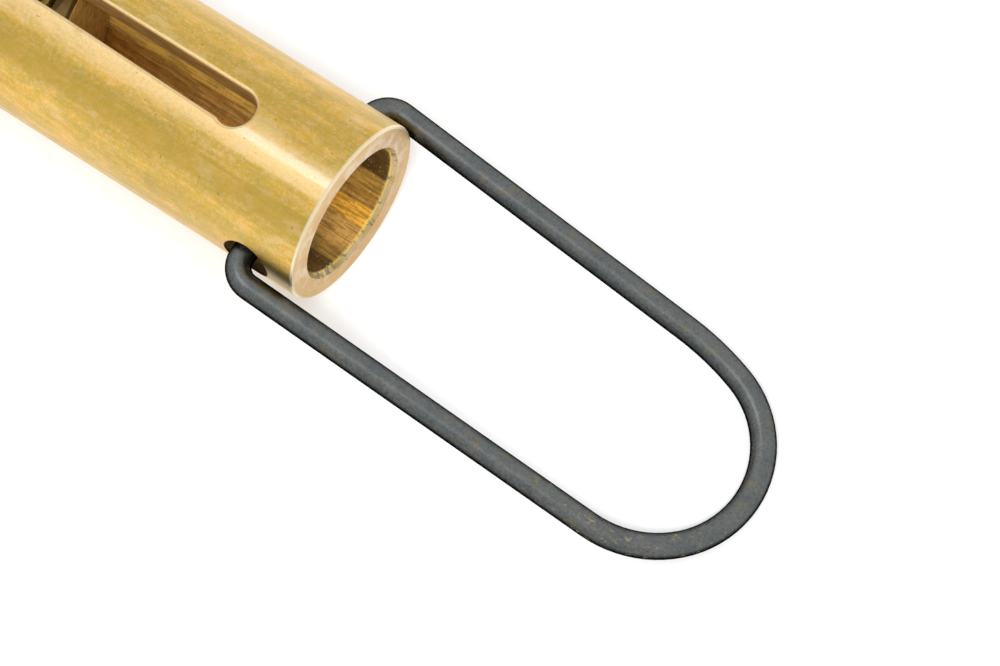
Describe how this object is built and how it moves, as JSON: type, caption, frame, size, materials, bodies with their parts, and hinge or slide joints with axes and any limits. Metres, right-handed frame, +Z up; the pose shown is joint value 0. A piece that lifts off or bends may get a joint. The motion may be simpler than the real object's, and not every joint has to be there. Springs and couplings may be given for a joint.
{
  "type": "soldering tip cleaning brush",
  "caption": "Slotted metal barrel with a sliding wire brush worked by a thumb stud, a hexagon nose and a swinging wire bail, for cleaning soldering tips.",
  "frame": {"origin": "middle of the overall length and width, on the surface the tool lies on", "axes": "+X along the barrel axis from the brush towards the mouth and the bail, +Y along the bail's pivot axis, +Z up through the slot"},
  "size_m": [0.1396, 0.016, 0.0159],
  "materials": {
    "barrel": "satin",
    "bail": "dark oxide",
    "carrier": "satin",
    "clamp_screw": "satin",
    "thumb_stud": "satin",
    "slide_shoe": "matte",
    "thumb_button": "satin",
    "drag_spring": "satin",
    "brush_stem": "satin",
    "brush_ferrule": "satin",
    "bristles": "bright",
    "nose": "satin",
    "nose_ring": "matte",
    "guide_bush": "matte"
  },
  "bodies": {
    "body": {"barrel": "barrel", "nose": "nose", "nose_ring": "nose_ring", "guide_bush": "guide_bush"},
    "slider": {"carrier": "carrier", "thumb_stud": "thumb_stud", "slide_shoe": "slide_shoe", "thumb_button": "thumb_button", "drag_spring": "drag_spring", "brush_stem": "brush_stem", "brush_ferrule": "brush_ferrule", "bristles": "bristles"},
    "screw": {"clamp_screw": "clamp_screw"},
    "hanger": {"bail": "bail"}
  },
  "joints": [
    {"name": "carrier_slide", "type": "slide", "parent": "body", "child": "slider", "axis": [1, 0, 0], "range_m": [-0.01, 0.0209]},
    {"name": "clamp_screw_turn", "type": "hinge", "parent": "slider", "child": "screw", "pos_m": [0.01616, 0, 0.00825], "axis": [0, 0, 1], "range_deg": [0, 360]},
    {"name": "bail_swing", "type": "hinge", "parent": "body", "child": "hanger", "pos_m": [0.03708, 0, 0.006], "axis": [0, -1, 0], "range_deg": [-158, 168.5]}
  ]
}
